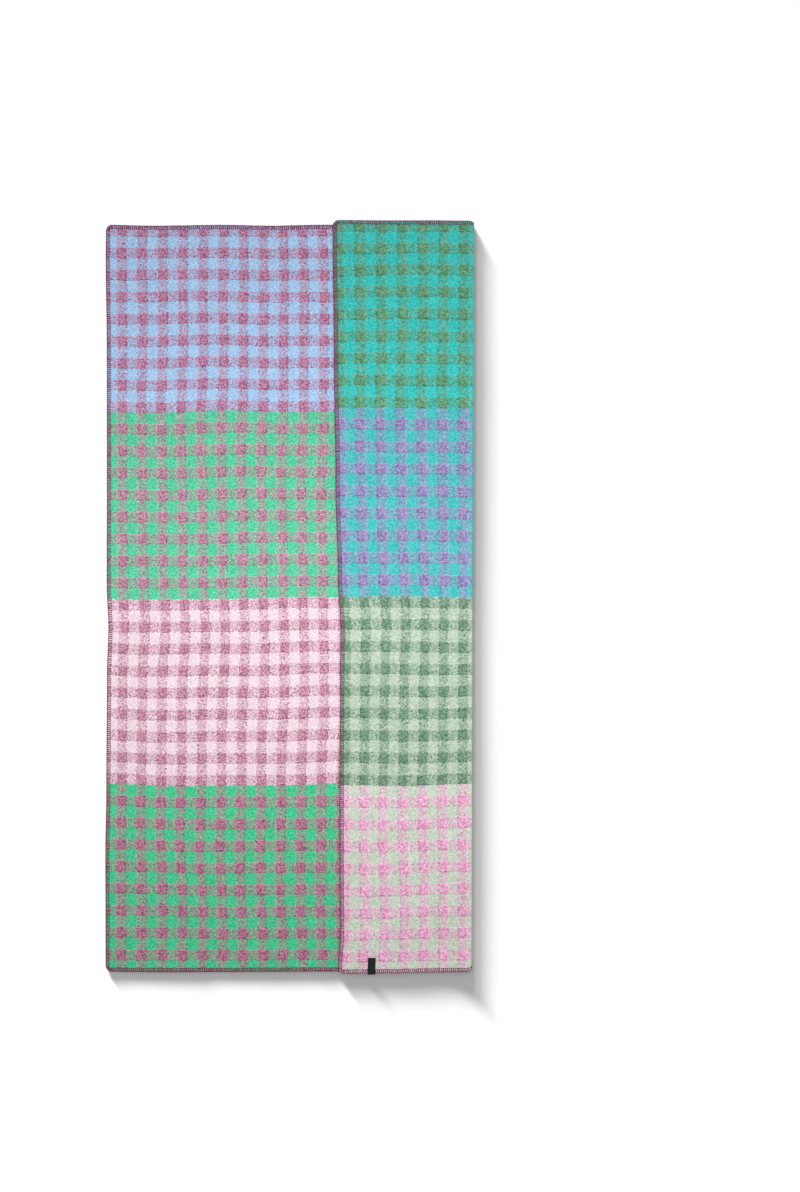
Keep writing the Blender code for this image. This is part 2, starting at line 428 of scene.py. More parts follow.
def drift(across, up, drifts):
    """How far the check's lines are from straight."""
    total = np.zeros_like(across)
    for wave in drifts:
        turns = across / wave.wave_across + up / wave.wave_up
        total += wave.size * np.sin(2.0 * pi * turns + wave.phase)
    return total


def drifted(across, up):
    """Where a point of the check lies over the flat cloth. The cut edges and the fold stay."""
    to_loop = np.maximum(LOWER - across, across - UPPER_START)
    free_across = smooth(np.minimum(np.minimum(across, WIDTH - across), to_loop) / DRIFT_REACH)
    free_up = smooth(to_ends(up) / DRIFT_REACH)
    return (
        across + free_across * drift(across, up, COLUMN_DRIFT),
        up + free_up * drift(across, up, ROW_DRIFT),
    )


def half_thickness(across, up):
    """Half the cloth's thickness: round at the rim, pressed by the stitches, and lower along the
    lines between the squares."""
    edge = inset(across, up)
    square = np.abs(np.sin(pi * across / COLUMN) * np.sin(pi * up / ROW))
    full = THICKNESS / 2 - LINE_DEPTH * (1.0 - np.sqrt(square))
    swollen = smooth((edge - STITCH_REACH) / SWELL_OUT)
    return (PRESSED + swollen * (full - PRESSED)) * np.interp(edge, RIM_INSET, RIM_SHARE)


def stations(size, squares, extra=()):
    """Places along one side of the cloth: the steps of each square, rings at both ends, and more.
    Places that are the same but for rounding count once."""
    regular = np.arange(squares * SQUARE_STEPS + 1) * size / (squares * SQUARE_STEPS)
    near = np.array(NEAR_EDGE)
    places = np.concatenate((regular, near, size - near, extra))
    return np.unique(np.round(places, PLACE_DECIMALS))


def boundary(rows, columns):
    """The points round a grid, anticlockwise from its first."""
    grid = np.arange(rows * columns).reshape(rows, columns)
    return np.concatenate((grid[0, :-1], grid[:-1, -1], grid[-1, :0:-1], grid[:0:-1, 0]))


def closed_sheet(front, back):
    """Points and faces of a thin closed body between two grids of points: the front's faces, then
    the back's, then the rim's."""
    rows, columns = front.shape[:2]
    grid = np.arange(rows * columns).reshape(rows, columns)
    low, high = grid[:-1], grid[1:]
    faces = np.stack((low[:, :-1], low[:, 1:], high[:, 1:], high[:, :-1]), axis=-1).reshape(-1, 4)
    ring = boundary(rows, columns)
    following = np.roll(ring, -1)
    under = rows * columns
    rim = np.stack((following, ring, ring + under, following + under), axis=-1)
    points = np.concatenate((front.reshape(-1, 3), back.reshape(-1, 3)))
    return points, np.concatenate((faces, faces[:, ::-1] + under, rim))


def add_object(name, data):
    item = bpy.data.objects.new(name, data)
    bpy.context.scene.collection.objects.link(item)
    return item


def add_mesh(name, points, faces, maps, materials, slots=None):
    """A smooth mesh of four-cornered faces, with its maps as one place for each face's corner."""
    mesh = bpy.data.meshes.new(name)
    mesh.from_pydata(points.tolist(), [], faces.tolist())
    for material in materials:
        mesh.materials.append(material)
    if slots is not None:
        mesh.polygons.foreach_set("material_index", slots.astype(np.int32))
    for map_name, spots in maps.items():
        layer = mesh.uv_layers.new(name=map_name)
        layer.data.foreach_set("uv", np.ascontiguousarray(spots, dtype=np.float32).ravel())
    mesh.shade_smooth()
    mesh.update()
    return add_object(name, mesh)


def screen_colour(colour):
    """The reflectance that shows as this screen colour in the scene's light. A screen's levels
    follow the usual curve."""
    share = np.array(colour) / 255.0
    linear = np.where(share <= 0.04045, share / 12.92, ((share + 0.055) / 1.055) ** 2.4)
    return (*(linear / LIGHT).tolist(), 1.0)


class Nodes:
    """Adds shader nodes to a new material, with their inputs set or linked in the same call."""

    def __init__(self, name):
        self.material = bpy.data.materials.new(name)
        self.material.use_nodes = True
        self.tree = self.material.node_tree
        self.shader = self.tree.nodes["Principled BSDF"]

    def put(self, value, socket):
        if isinstance(value, bpy.types.NodeSocket):
            self.tree.links.new(value, socket)
        else:
            socket.default_value = value

    def add(self, kind, **settings):
        node = self.tree.nodes.new(kind)
        for setting, value in settings.items():
            setattr(node, setting, value)
        return node

    def math(self, operation, *values):
        node = self.add("ShaderNodeMath", operation=operation)
        for value, socket in zip(values, node.inputs):
            self.put(value, socket)
        return node.outputs["Value"]

    def total(self, start, *parts):
        """The start, and each part times its share."""
        for part, share in parts:
            start = self.math("MULTIPLY_ADD", part, share, start)
        return start

    def spread(self, value, low, high, to_low=0.0, to_high=1.0):
        """The value's share of the way from low to high, as a place between two others."""
        node = self.add("ShaderNodeMapRange", interpolation_type="SMOOTHSTEP")
        for part, socket in zip((value, low, high, to_low, to_high), node.inputs):
            self.put(part, socket)
        return node.outputs["Result"]

    def mix(self, share, first, second):
        """A mix of two colours, whose sockets come after those for numbers and vectors."""
        node = self.add("ShaderNodeMix", data_type="RGBA")
        self.put(share, node.inputs["Factor"])
        self.put(first, node.inputs[6])
        self.put(second, node.inputs[7])
        return node.outputs[2]

    def spot(self, map_name):
        """The place on a map, as its two parts."""
        return self.parts(self.add("ShaderNodeUVMap", uv_map=map_name).outputs["UV"])[:2]

    def vector(self, x, y, z=0.0):
        node = self.add("ShaderNodeCombineXYZ")
        for value, socket in zip((x, y, z), node.inputs):
            self.put(value, socket)
        return node.outputs["Vector"]

    def parts(self, vector):
        """The three parts of a vector or colour."""
        apart = self.add("ShaderNodeSeparateXYZ")
        self.put(vector, apart.inputs[0])
        return apart.outputs["X"], apart.outputs["Y"], apart.outputs["Z"]

    def noise(self, spot, size, detail=1.0, apart=False):
        """Noise from 0 to 1 with features of this size: one value, or three that differ."""
        node = self.add("ShaderNodeTexNoise")
        self.put(spot, node.inputs["Vector"])
        node.inputs["Scale"].default_value = 1.0 / size
        node.inputs["Detail"].default_value = detail
        return self.parts(node.outputs["Color"]) if apart else node.outputs["Fac"]

    def surface(self, colour, roughness, specular, sheen=0.0):
        """Sets what the material's surface is like."""
        names = ("Base Color", "Roughness", "Specular IOR Level", "Sheen Weight")
        for name, value in zip(names, (colour, roughness, specular, sheen)):
            self.put(value, self.shader.inputs[name])

    def bump(self, height, distance, strength=1.0):
        node = self.add("ShaderNodeBump")
        node.inputs["Distance"].default_value = distance
        node.inputs["Strength"].default_value = strength
        self.put(height, node.inputs["Height"])
        self.put(node.outputs["Normal"], self.shader.inputs["Normal"])


# Wool: the width and height of one pick, the stretch of a weft yarn that shows between two warp
# yarns, and how irregular the picks are, from 0 to 1. Along a column's border every second row of
# picks reaches further, by the tooth, and each pick is off by a part of the border's noise. A line
# runs along each border, where the yarns change over to the other face. It carries a painted
# highlight along the upper and left borders of the dark columns and rows, and painted shade along
# their lower and right borders, as if light fell from the upper left. Where picks of both yarns
# alternate, a few are swapped, and everywhere a few picks are bright.
PICK_WIDTH = 0.0026
PICK_HEIGHT = 0.001875
PICK_IRREGULAR = 0.5
TOOTH = 0.0022
BORDER_NOISE = 0.0020
BORDER_LINE = 0.0024
ODD_PICKS = 0.08
BRIGHT_PICKS = 0.10

# What is uneven in wool: its fibres, which push the picks' outlines this far, its slubs, which are
# this much longer than high, its mottling and its clouds. Slubs and mottling start and are full at
# these levels of noise, and are shifted so that they don't follow the fibres.
FIBRE = 0.0009
FUZZ = 0.0034
SLUB = 0.0045
SLUB_LONG = 1.3
MOTTLE = 0.0038
CLOUD = 0.045
NOISE_START = 0.36
NOISE_FULL = 0.64
SLUB_SHIFT = 5.0
MOTTLE_SHIFT = 9.0

# How much of the flecks' colour slubs, chance, painted highlight lines and bright picks bring.
SLUB_FLECKS = 0.55
CHANCE_FLECKS = 0.45
PAINTED_HIGHLIGHT_FLECKS = 0.4
BRIGHT_FLECKS = 0.6

# How bright wool is, and what clouds, fibres, painted shade lines and mottling add. Dark yarn
# is mottled more.
WOOL_VALUE = 0.80
CLOUD_VALUE = 0.16
FIBRE_VALUE = 0.24
PAINTED_SHADE_LINE_VALUE = -0.30
MOTTLE_VALUE = 0.16
DARK_MOTTLE_VALUE = 0.28

# The nap's depth, what fibres and a pick's crown bring to it, and the crown's reach in picks. Then
# how rough wool is, and what fibres add to that.
NAP_DEPTH = 0.00035
FIBRE_NAP = 0.9
CROWN_NAP = 0.8
CROWN_REACH = 0.75
WOOL_ROUGHNESS = 0.86
FIBRE_ROUGHNESS = 0.1


def wool(name, bands, seed):
    """Felted wool, made of picks of one colour each. In the check, columns and rows are light or
    dark; where a light one crosses a dark one, and along the lower and upper cut edges, picks of
    both yarns alternate. Each band along the length has its own two yarns."""
    nodes = Nodes(name)
    across, up = nodes.spot("Cloth")
    spot = nodes.vector(across, up, seed)
    fibre, fuzz_across, fuzz_up = nodes.noise(spot, FIBRE, detail=4.0, apart=True)

    def in_picks(position, fuzz, size):
        """This place, pushed a little by the fibres, as a number of picks."""
        pushed = nodes.total(position, (nodes.math("SUBTRACT", fuzz, 0.5), FUZZ))
        return nodes.total(seed, (pushed, 1.0 / size))

    picks = nodes.add("ShaderNodeTexVoronoi", voronoi_dimensions="2D", feature="F1")
    picks.inputs["Scale"].default_value = 1.0
    picks.inputs["Randomness"].default_value = PICK_IRREGULAR
    pick_x, pick_y = in_picks(across, fuzz_across, PICK_WIDTH), in_picks(up, fuzz_up, PICK_HEIGHT)
    nodes.put(nodes.vector(pick_x, pick_y), picks.inputs["Vector"])
    middle_x, middle_y, _ = nodes.parts(picks.outputs["Position"])
    chance, other_chance, third_chance = nodes.parts(picks.outputs["Color"])
    column_number = nodes.math("FLOOR", middle_x)
    row_number = nodes.math("FLOOR", middle_y)

    def middle(place_in_picks, size, number_of_other, tooth, luck):
        """Where the pick's middle counts as lying, for the borders of the check."""
        longer = nodes.math("FLOORED_MODULO", number_of_other, 2.0)
        parts = (place_in_picks, size), (longer, tooth), (luck, BORDER_NOISE)
        return nodes.math("ADD", nodes.total(-seed * size, *parts), -(tooth + BORDER_NOISE) / 2)

    def stripes(position, pitch):
        """Whether this place is on a dark column or row, on the line along its start, and on the
        line along its end. The first one is light."""
        turn = nodes.math("FRACT", nodes.math("MULTIPLY", position, 0.5 / pitch))
        line = BORDER_LINE / 2 / pitch
        start = nodes.math("COMPARE", turn, 0.5 + line / 2, line / 2)
        end = nodes.math("GREATER_THAN", turn, 1.0 - line)
        return nodes.math("GREATER_THAN", turn, 0.5), start, end

    at_across = middle(middle_x, PICK_WIDTH, row_number, TOOTH, chance)
    at_up = middle(middle_y, PICK_HEIGHT, column_number, 0.0, other_chance)
    column, left_line, right_line = stripes(at_across, COLUMN)
    row, low_line, high_line = stripes(at_up, ROW)
    turn = nodes.math("FLOORED_MODULO", nodes.math("ADD", column_number, row_number), 2.0)
    odd = nodes.math("LESS_THAN", third_chance, ODD_PICKS)
    turn = nodes.math("ABSOLUTE", nodes.math("SUBTRACT", turn, odd))
    to_end = nodes.math("MINIMUM", at_up, nodes.math("SUBTRACT", LENGTH, at_up))
    selvedge = nodes.math("LESS_THAN", to_end, STITCH_REACH)
    inner = nodes.math("SUBTRACT", 1.0, selvedge)
    both = nodes.math("MULTIPLY", nodes.math("MULTIPLY", column, row), inner)
    either = nodes.math("ABSOLUTE", nodes.math("SUBTRACT", column, row))
    either = nodes.math("MAXIMUM", either, selvedge)
    dark = nodes.total(both, (either, turn))

    in_slubs = nodes.vector(nodes.math("DIVIDE", across, SLUB_LONG), up, seed + SLUB_SHIFT)
    slub = nodes.spread(nodes.noise(in_slubs, SLUB), NOISE_START, NOISE_FULL)
    # Painted highlight along the upper and left borders of the dark columns and rows, and painted
    # shade on the dark picks along their lower and right borders, as if light fell from the upper
    # left.
    painted_highlight_line = nodes.math("MAXIMUM", left_line, high_line)
    painted_shade_line = nodes.math("MULTIPLY", nodes.math("MAXIMUM", right_line, low_line), dark)
    bright = nodes.math("GREATER_THAN", third_chance, 1.0 - BRIGHT_PICKS)
    flecks = nodes.total(
        nodes.math("MULTIPLY", other_chance, CHANCE_FLECKS),
        (slub, SLUB_FLECKS),
        (painted_highlight_line, PAINTED_HIGHLIGHT_FLECKS),
        (bright, BRIGHT_FLECKS),
    )
    levels = [index / len(bands) * LENGTH for index in range(1, len(bands))]
    above = [nodes.math("GREATER_THAN", at_up, level) for level in levels]

    def banded(colours):
        """The colour of the band that this place is in."""
        colour = screen_colour(colours[0])
        for share, following in zip(above, colours[1:]):
            colour = nodes.mix(share, colour, screen_colour(following))
        return colour

    def yarn(which):
        yarns = [getattr(band, which) for band in bands]
        ground = banded([one[:3] for one in yarns])
        return nodes.mix(flecks, ground, banded([one[3:] for one in yarns]))

    colour = nodes.mix(dark, yarn("light"), yarn("dark"))
    cloud = nodes.noise(spot, CLOUD, detail=2.0)
    mottle = nodes.noise(nodes.vector(across, up, seed + MOTTLE_SHIFT), MOTTLE)
    mottle = nodes.spread(mottle, NOISE_START, NOISE_FULL, -0.5, 0.5)
    value = nodes.total(
        WOOL_VALUE,
        (cloud, CLOUD_VALUE),
        (fibre, FIBRE_VALUE),
        (painted_shade_line, PAINTED_SHADE_LINE_VALUE),
        (mottle, nodes.total(MOTTLE_VALUE, (dark, DARK_MOTTLE_VALUE))),
    )
    shade = nodes.add("ShaderNodeHueSaturation")
    nodes.put(colour, shade.inputs["Color"])
    nodes.put(value, shade.inputs["Value"])

    crown = nodes.spread(picks.outputs["Distance"], 0.0, CROWN_REACH, 1.0, 0.0)
    nap = nodes.total(nodes.math("MULTIPLY", crown, CROWN_NAP), (fibre, FIBRE_NAP))
    nodes.bump(nap, NAP_DEPTH)
    roughness = nodes.total(WOOL_ROUGHNESS, (fibre, FIBRE_ROUGHNESS))
    nodes.surface(shade.outputs["Color"], roughness, specular=0.2, sheen=0.25)
    return nodes.material


# Thread: how far one turn of its two plies runs, and the groove between them, as a share of a turn
# and a depth; the groove is painted with shade. Then its flecks, the noise levels at which they
# start and are full, how bright it is between them, how rough it is, and what flecks add to that.
PLY_TURN = 0.0044
PLY_GROOVE = 0.28
PLY_DEPTH = 0.0003
FLECK_SIZE = 0.0012
FLECK_START = 0.2
FLECK_FULL = 0.7
BETWEEN_FLECKS = 0.6
THREAD_ROUGHNESS = 0.7
FLECK_ROUGHNESS = 0.2


def thread(name, colour, dark_tone_and_shade):
    """Two-ply yarn, lower between its plies, where its dark colour is painted as shade."""
    nodes = Nodes(name)
    along, around = nodes.spot("Yarn")
    turns = nodes.total(nodes.math("DIVIDE", along, PLY_TURN), (around, 2.0))
    ply = nodes.spread(nodes.math("PINGPONG", turns, 0.5), 0.0, PLY_GROOVE)
    fleck = nodes.noise(nodes.vector(along, around), FLECK_SIZE, detail=2.0)
    flecks = nodes.spread(fleck, FLECK_START, FLECK_FULL, BETWEEN_FLECKS, 1.0)
    share = nodes.math("MULTIPLY", ply, flecks)
    # The groove between the plies takes the dark colour as painted shade; between the flecks the
    # yarn is partly of the darker tone.
    colour = nodes.mix(share, screen_colour(dark_tone_and_shade), screen_colour(colour))
    nodes.bump(ply, PLY_DEPTH, strength=0.6)
    roughness = nodes.total(THREAD_ROUGHNESS, (fleck, FLECK_ROUGHNESS))
    nodes.surface(colour, roughness, specular=0.15, sheen=0.08)
    return nodes.material


# Ribbon: the pitch of its ribs and of the warp threads that cross them, the depth of its weave, its
# wear, of which the grooves take less, how rough it is, and what wear adds to that.
RIB = 0.00060
WARP = 0.00033
WEAVE_DEPTH = 0.00006
WEAR = 0.005
GROOVE_WEAR = 0.4
RIBBON_ROUGHNESS = 0.45
WEAR_ROUGHNESS = 0.25


def ribbon(name):
    """Black woven ribbon with fine ribs across it."""
    nodes = Nodes(name)
    across, along = nodes.spot("Ribbon")
    rib = nodes.math("PINGPONG", nodes.math("DIVIDE", along, RIB), 0.5)
    rib_number = nodes.math("FLOOR", nodes.math("DIVIDE", along, RIB))
    warp = nodes.total(nodes.math("DIVIDE", across, WARP), (rib_number, 0.5))
    weave = nodes.total(rib, (nodes.math("PINGPONG", warp, 0.5), 0.5))
    wear = nodes.noise(nodes.vector(across, along), WEAR, detail=3.0)
    share = nodes.math("MULTIPLY", wear, nodes.spread(rib, 0.0, 0.5, GROOVE_WEAR, 1.0))
    colour = nodes.mix(share, screen_colour(RIBBON), screen_colour(RIBBON_WORN))
    nodes.bump(weave, WEAVE_DEPTH, strength=0.6)
    roughness = nodes.total(RIBBON_ROUGHNESS, (wear, WEAR_ROUGHNESS))
    nodes.surface(colour, roughness, specular=0.25)
    return nodes.material


def add_cloth(front_wool, reverse_wool):
    """The cloth on a grid that follows the lines of its check."""
    loop = np.linspace(LOWER, UPPER_START, LOOP_STEPS + 1)
    columns = stations(WIDTH, COLUMNS, loop)
    rows = stations(LENGTH, ROWS)
    across, up = np.meshgrid(columns, rows)
    half = half_thickness(across, up)
    across, up = rounded(across, up)
    lying = drifted(across, up)
    front, back = on_cloth(*lying, half), on_cloth(*lying, -half)
    points, faces = closed_sheet(front, back)
    flat = np.stack((across, up), axis=-1).reshape(-1, 2)
    flat = np.concatenate((flat, flat))
    grid_faces = (len(columns) - 1) * (len(rows) - 1)
    slots = np.zeros(len(faces))
    slots[grid_faces : 2 * grid_faces] = 1
    slots[2 * grid_faces :] = rim_slots(columns, rows)
    maps = {"Cloth": flat[faces], "OFBake": bake_map(columns, rows, faces)}
    return add_mesh("wool_cloth", points, faces, maps, (front_wool, reverse_wool), slots)


def rim_columns(columns, rows):
    """The column that each face of the rim starts from, in the order of the rim's faces."""
    ring = boundary(len(rows), len(columns)) % len(columns)
    return np.minimum(ring, np.roll(ring, -1))


def rim_slots(columns, rows):
    """The rim has the front's wool up to the fold, and the reverse's past it."""
    first_of_fold = FOLD_COLUMNS * COLUMN - PLACE_ERROR
    return (columns[rim_columns(columns, rows)] >= first_of_fold).astype(float)


def bake_map(columns, rows, faces):
    """The cloth's map for baking, for each corner of each face. From the left: the front's shown
    part, the reverse's shown part, the underside, and the front's hidden part in a narrow strip."""
    count = len(columns)
    sheet = count * len(rows)
    first_hidden = int(np.argmin(np.abs(columns - SHOWN_FRONT_COLUMNS * COLUMN)))
    first_fold = int(np.argmin(np.abs(columns - FOLD_COLUMNS * COLUMN)))
    shown = columns[first_hidden] + WIDTH - columns[first_fold]
    spread = SHOWN_SHARE / shown
    start = GUTTER + RIM_STRIP

    def island(left, low, high, width):
        """U for every column of an island between two of them."""
        places = (columns - columns[low]) / (columns[high] - columns[low])
        return left + places * width, left + width

    front_u, front_end = island(start, 0, first_hidden, columns[first_hidden] * spread)
    fold_width = (WIDTH - columns[first_fold]) * spread
    fold_u, fold_end = island(front_end + GUTTER, first_fold, count - 1, fold_width)
    under_start = fold_end + RIM_STRIP + GUTTER
    under_u, under_end = island(under_start, 0, first_fold, UNDER_SHARE)
    hidden_u, _ = island(under_end + GUTTER, first_hidden, count - 1, HIDDEN_SHARE)
    v = start + rows / LENGTH * (1.0 - 2.0 * start)

    column = faces % sheet % count
    row = faces % sheet // count
    on_back = faces >= sheet
    first_column = column.min(axis=1, keepdims=True)
    rim = (on_back.any(axis=1) & ~on_back.all(axis=1))[:, None]
    of_front = np.where(rim, first_column < first_fold, ~on_back)
    front_side = np.where(first_column < first_hidden, front_u[column], hidden_u[column])
    back_side = np.where(first_column < first_fold, under_u[column], fold_u[column])
    u = np.where(of_front, front_side, back_side)
    v = v[row]

    far_side = rim & (on_back == of_front)
    along_length = rim & (column.min(axis=1) == column.max(axis=1))[:, None]
    strip = RIM_STRIP * far_side
    outward_u = np.where(column == 0, -strip, strip)
    outward_v = np.where(row == 0, -strip, strip)
    u = u + np.where(along_length, outward_u, 0.0)
    v = v + np.where(along_length, 0.0, outward_v)
    return np.stack((u, v), axis=-1)


def perimeter_length():
    """The length of the cloth's edge, whose four corners are quarter circles."""
    straight = 2.0 * (WIDTH + LENGTH) - 8.0 * CORNER_RADIUS
    return straight + 2.0 * pi * CORNER_RADIUS


def round_edge(distance):
    """Where this far round the cloth's edge is, anticlockwise from the start of its lower side:
    which side it is on, how far along its straight part, and how far into the corner after it."""
    sizes = np.array((WIDTH, LENGTH, WIDTH, LENGTH)) - 2.0 * CORNER_RADIUS
    ends = np.cumsum(sizes + pi / 2.0 * CORNER_RADIUS)
    distance = np.mod(distance, ends[-1])
    side = np.minimum(np.searchsorted(ends, distance, side="right"), 3)
    along = distance - np.concatenate(((0.0,), ends))[side]
    straight = np.minimum(along, sizes[side])
    return side, straight, along - straight


def from_edge(distance, depth, height):
    """The point this far round the cloth's edge, this far in from it, and this high over the middle
    of the cloth."""
    side, straight, turned = round_edge(distance)
    last_across, last_up = WIDTH - CORNER_RADIUS, LENGTH - CORNER_RADIUS
    start_across = np.array((CORNER_RADIUS, last_across, last_across, CORNER_RADIUS))[side]
    start_up = np.array((CORNER_RADIUS, CORNER_RADIUS, last_up, last_up))[side]
    heading = side * pi / 2.0
    outward = heading - pi / 2.0 + turned / CORNER_RADIUS
    reach = CORNER_RADIUS - depth
    across = start_across + straight * np.cos(heading) + reach * np.cos(outward)
    up = start_up + straight * np.sin(heading) + reach * np.sin(outward)
    return on_cloth(across, up, height + np.zeros_like(across))


def tubes(centres, sideways, radii):
    """Threads along these centres, one thread a row: a ring of points round each centre. There is
    one radius, or one for each centre of a thread."""
    forward = unit(np.gradient(centres, axis=1))
    level = unit(np.cross(forward, sideways))
    upright = np.cross(level, forward)
    turn = np.arange(THREAD_SIDES)[:, None] * 2.0 * pi / THREAD_SIDES
    circle = np.cos(turn) * upright[..., None, :] + np.sin(turn) * level[..., None, :]
    return centres[..., None, :] + np.asarray(radii)[..., None, None] * circle


def spun(centres, sideways, radii, steps, strip):
    """Threads with their faces and maps. Each stitch takes this many steps of them, and has them on
    this strip of its square of the map for baking."""
    count, length = centres.shape[:2]
    each, ring, side = np.meshgrid(
        np.arange(count), np.arange(length - 1), np.arange(THREAD_SIDES), indexing="ij"
    )
    each, ring, side = (part.reshape(-1, 1) for part in (each, ring, side))
    along = ring + np.array((0, 1, 1, 0))
    around = side + np.array((0, 0, 1, 1))
    faces = (each * length + along) * THREAD_SIDES + around % THREAD_SIDES

    gone = np.linalg.norm(np.diff(centres, axis=1), axis=-1)
    gone = np.concatenate((np.zeros((count, 1)), np.cumsum(gone, axis=1)), axis=1)
    gone += np.arange(count)[:, None] * YARN_APART
    yarn = np.stack((gone[each, along], around / THREAD_SIDES), axis=-1)

    stitch = each + ring // steps
    u = stitch % MAP_SQUARES + strip.left + around / THREAD_SIDES * strip.width
    v = stitch // MAP_SQUARES + strip.low + (along - ring // steps * steps) / steps * strip.length
    bake = np.stack((u, v), axis=-1) / MAP_SQUARES
    return tubes(centres, sideways, radii).reshape(-1, 3), faces, yarn, bake


def add_threads(name, parts, material):
    """One piece of several sets of threads."""
    points, faces, yarn, bake = (list(column) for column in zip(*parts))
    starts = np.cumsum([0] + [len(part) for part in points[:-1]])
    faces = [part + start for part, start in zip(faces, starts)]
    maps = {"Yarn": np.concatenate(yarn), "OFBake": np.concatenate(bake)}
    return add_mesh(name, np.concatenate(points), np.concatenate(faces), maps, (material,))


def thread_points(distance, depth, height, inward=False):
    """The middles of threads, and at each the direction along the edge, or in from it."""
    centres = from_edge(distance, depth, height)
    step = (distance, depth + EDGE_STEP) if inward else (distance + EDGE_STEP, depth)
    return centres, from_edge(*step, height) - centres


def stitched(path, starts, shifts, radius, flip, strip):
    """One thread for each stitch, along a path in the stitch's own sizes. Its ends are thin, where
    it dives into the cloth."""
    forward, depth, height = np.array(path).T
    distance = starts[:, None] + forward * PITCH
    corner_angle = round_edge(starts)[2] / CORNER_RADIUS
    shorter = 1.0 - CORNER_SHORTER * np.sin(2.0 * corner_angle)[:, None]
    depth = depth * shorter + shifts[:, None] * smooth(depth / STITCH_REACH)
    centres, sideways = thread_points(distance, depth, flip * height)
    radii = np.full(len(path), radius)
    radii[[0, -1]] *= THREAD_END
    return spun(centres, sideways, radii, len(path) - 1, strip)


def add_stitches(name, starts, material):
    """The overlock stitches that start at these places round the edge: each has a leg over both
    faces and round the rim, its length of the two-strand chain along the rim, and a needle stitch
    on each face."""
    chance = np.random.default_rng([STITCH_SEED, round(starts[0] / PITCH)])
    uneven = starts + chance.normal(0.0, PITCH_UNEVEN, len(starts))
    shifts = chance.normal(0.0, REACH_UNEVEN, len(starts))
    back_half = [Leg(1.0 - leg.forward, leg.inset, -leg.height) for leg in reversed(HALF_LEG)]
    leg = (*HALF_LEG, LEG_TURN, *back_half)
    parts = [
        stitched(leg, uneven, shifts, LEG_RADIUS, 1.0, LEG_STRIP),
        stitched(NEEDLE_STITCH, uneven, shifts, NEEDLE_RADIUS, 1.0, FRONT_NEEDLE_STRIP),
        stitched(NEEDLE_STITCH, uneven, shifts, NEEDLE_RADIUS, -1.0, BACK_NEEDLE_STRIP),
    ]
    for start_angle, strip in ((0.0, FIRST_STRAND_STRIP), (pi, SECOND_STRAND_STRIP)):
        distance = starts[0] + np.arange(len(starts) * CHAIN_STEPS + 1) * PITCH / CHAIN_STEPS
        angle = pi * distance / PITCH + start_angle
        depth = CHAIN_INSET + CHAIN_TWIST_RADIUS * np.cos(angle)
        height = CHAIN_HEIGHT + CHAIN_TWIST_RADIUS * np.sin(angle)
        centres, inward = thread_points(distance, depth, height, inward=True)
        parts.append(spun(centres[None], inward[None], CHAIN_RADIUS, CHAIN_STEPS, strip))
    return add_threads(name, parts, material)


def label_path(extra):
    """The label's section, from the end of its leg on the front, round the rim, to the end of its
    leg on the reverse: how far in from the edge, and how high."""
    depth = np.linspace(LABEL_END, LABEL_BEND_INSET, LABEL_LEG_STEPS + 1)
    down = smooth((depth - STITCH_REACH - LABEL_PAST_STITCHES) / LABEL_COMES_DOWN)
    height = LABEL_OVER_STITCHES + down * (LABEL_OVER_CLOTH - LABEL_OVER_STITCHES) + extra
    turn = np.linspace(0.0, pi, LABEL_BEND_STEPS + 1)[1:-1]
    radius = LABEL_OVER_STITCHES + extra
    bend_depth = LABEL_BEND_INSET - radius * np.sin(turn)
    bend_height = radius * np.cos(turn)
    depth = np.concatenate((depth, bend_depth, depth[::-1]))
    return depth, np.concatenate((height, bend_height, -height[::-1]))


def add_label(material):
    """The label, with a map in metres: its width, and the length from one end to the other."""
    middle = label_across() - CORNER_RADIUS
    places = np.linspace(-LABEL_WIDTH / 2, LABEL_WIDTH / 2, LABEL_WIDTH_STEPS + 1)
    faces_of_cloth = []
    for extra in (0.0, LABEL_THICKNESS):
        depth, height = label_path(extra)
        width, depth = np.meshgrid(places, depth)
        faces_of_cloth.append(from_edge(middle + width, depth, height[:, None]))
    points, faces = closed_sheet(*faces_of_cloth)
    depth, height = label_path(0.0)
    gone = np.concatenate(((0.0,), np.cumsum(np.hypot(np.diff(depth), np.diff(height)))))
    width, gone = np.meshgrid(places, gone)
    flat = np.stack((width, gone), axis=-1).reshape(-1, 2)
    maps = {"Ribbon": np.concatenate((flat, flat))[faces]}
    piece = add_mesh("label_ribbon", points, faces, maps, (material,))
    piece.data.set_sharp_from_angle(angle=LABEL_SHARP)
    return piece


def add_label_stitches(material):
    """Two rows of small stitches across each leg of the label."""
    path_depth, path_height = label_path(LABEL_THICKNESS)
    parts = []
    for depth in TACK_ROWS:
        over = np.interp(depth, path_depth[LABEL_LEG_STEPS::-1], path_height[LABEL_LEG_STEPS::-1])
        first = label_across() - CORNER_RADIUS - TACKS / 2 * TACK_PITCH
        starts = first + np.arange(TACKS) * TACK_PITCH
        forward, height = np.array(TACK).T
        for flip in (1.0, -1.0):
            distance = starts[:, None] + forward * TACK_PITCH
            centres, inward = thread_points(distance, depth, flip * (over + height), inward=True)
            parts.append(spun(centres, inward, TACK_RADIUS, len(TACK) - 1, LEG_STRIP))
    return add_threads("label_stitches", parts, material)


def add_camera():
    camera = add_object("camera", bpy.data.cameras.new("camera"))
    camera.data.lens = LENS
    camera.location = VIEW_FROM
    bpy.context.scene.camera = camera


def only_for(name, pieces):
    """A collection of the pieces that a lamp lights. Every piece casts its shadow on them."""
    receivers = bpy.data.collections.new(name)
    for piece in pieces:
        receivers.objects.link(piece)
    return receivers


